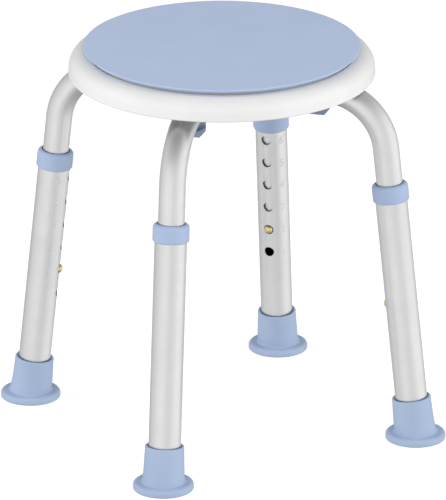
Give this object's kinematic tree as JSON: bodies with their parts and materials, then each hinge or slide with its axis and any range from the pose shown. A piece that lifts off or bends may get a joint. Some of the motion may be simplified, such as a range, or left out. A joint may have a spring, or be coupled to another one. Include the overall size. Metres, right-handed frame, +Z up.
{
  "type": "shower stool",
  "caption": "Round swivelling shower stool: a padded seat turns on a ribbed base carried by splayed telescopic legs with spring buttons and rubber feet.",
  "frame": {"origin": "on the floor under the centre of the seat", "axes": "+Z up, front is -Y, the legs stand on the diagonals between X and Y"},
  "size_m": [0.3452, 0.3452, 0.3947],
  "materials": {
    "foam_pad": "matte",
    "white_plastic": "satin",
    "grey_plastic": "satin",
    "blue_plastic": "satin",
    "blue_rubber": "matte",
    "tube_aluminium": "satin",
    "zinc_steel": "satin",
    "spring_steel": "satin",
    "brass_button": "satin",
    "black_plastic": "matte",
    "glide_plastic": "satin"
  },
  "bodies": {
    "frame": {"glide_ring": "glide_plastic", "seat_base": "white_plastic", "leg_hub": "white_plastic", "hub_screws": "zinc_steel", "clip_front_left": "blue_plastic", "clip_front_right": "blue_plastic", "clip_rear_left": "blue_plastic", "clip_rear_right": "blue_plastic", "clip_screws": "zinc_steel", "upper_tube_front_left": "tube_aluminium", "upper_tube_front_right": "tube_aluminium", "upper_tube_rear_left": "tube_aluminium", "upper_tube_rear_right": "tube_aluminium", "tube_bush_front_left": "black_plastic", "tube_bush_front_right": "black_plastic", "tube_bush_rear_left": "black_plastic", "tube_bush_rear_right": "black_plastic", "button_spring_front_left": "spring_steel", "button_spring_front_right": "spring_steel", "button_spring_rear_left": "spring_steel", "button_spring_rear_right": "spring_steel"},
    "swivel": {"seat_pad": "foam_pad", "swivel_plate": "grey_plastic", "pivot_bolt": "zinc_steel", "pivot_washer": "zinc_steel", "pivot_nut": "zinc_steel"},
    "leg_front_left": {"lower_tube_front_left": "tube_aluminium", "collar_front_left": "blue_plastic", "foot_front_left": "blue_rubber", "foot_plate_front_left": "zinc_steel"},
    "press_front_left": {"button_front_left": "brass_button"},
    "leg_front_right": {"lower_tube_front_right": "tube_aluminium", "collar_front_right": "blue_plastic", "foot_front_right": "blue_rubber", "foot_plate_front_right": "zinc_steel"},
    "press_front_right": {"button_front_right": "brass_button"},
    "leg_rear_right": {"lower_tube_rear_right": "tube_aluminium", "collar_rear_right": "blue_plastic", "foot_rear_right": "blue_rubber", "foot_plate_rear_right": "zinc_steel"},
    "press_rear_right": {"button_rear_right": "brass_button"},
    "leg_rear_left": {"lower_tube_rear_left": "tube_aluminium", "collar_rear_left": "blue_plastic", "foot_rear_left": "blue_rubber", "foot_plate_rear_left": "zinc_steel"},
    "press_rear_left": {"button_rear_left": "brass_button"}
  },
  "joints": [
    {"name": "seat_swivel", "type": "hinge", "parent": "frame", "child": "swivel", "pos_m": [0, 0, 0.38654], "axis": [0, 0, 1], "continuous": true},
    {"name": "leg_slide_front_left", "type": "slide", "parent": "frame", "child": "leg_front_left", "axis": [-0.0751, -0.0751, -0.9943], "range_m": [-0.025, 0.1], "deforming": ["button_front_left", "button_spring_front_left"]},
    {"name": "button_press_front_left", "type": "slide", "parent": "frame", "child": "press_front_left", "axis": [-0.7732, -0.6253, 0.1057], "range_m": [0, 0.005], "stiffness_N_per_m": 1500, "springref_m": -0.006, "deforming": ["button_spring_front_left"]},
    {"name": "leg_slide_front_right", "type": "slide", "parent": "frame", "child": "leg_front_right", "axis": [0.0751, -0.0751, -0.9943], "range_m": [-0.025, 0.1], "deforming": ["button_front_right", "button_spring_front_right"]},
    {"name": "button_press_front_right", "type": "slide", "parent": "frame", "child": "press_front_right", "axis": [0.6117, -0.784, 0.1055], "range_m": [0, 0.005], "stiffness_N_per_m": 1500, "springref_m": -0.006, "deforming": ["button_spring_front_right"]},
    {"name": "leg_slide_rear_right", "type": "slide", "parent": "frame", "child": "leg_rear_right", "axis": [0.0751, 0.0751, -0.9943], "range_m": [-0.025, 0.1], "deforming": ["button_rear_right", "button_spring_rear_right"]},
    {"name": "button_press_rear_right", "type": "slide", "parent": "frame", "child": "press_rear_right", "axis": [0.7621, 0.6388, 0.1059], "range_m": [0, 0.005], "stiffness_N_per_m": 1500, "springref_m": -0.006, "deforming": ["button_spring_rear_right"]},
    {"name": "leg_slide_rear_left", "type": "slide", "parent": "frame", "child": "leg_rear_left", "axis": [-0.0751, 0.0751, -0.9943], "range_m": [-0.025, 0.1], "deforming": ["button_rear_left", "button_spring_rear_left"]},
    {"name": "button_press_rear_left", "type": "slide", "parent": "frame", "child": "press_rear_left", "axis": [-0.8152, 0.5696, 0.1046], "range_m": [0, 0.005], "stiffness_N_per_m": 1500, "springref_m": -0.006, "deforming": ["button_spring_rear_left"]}
  ]
}
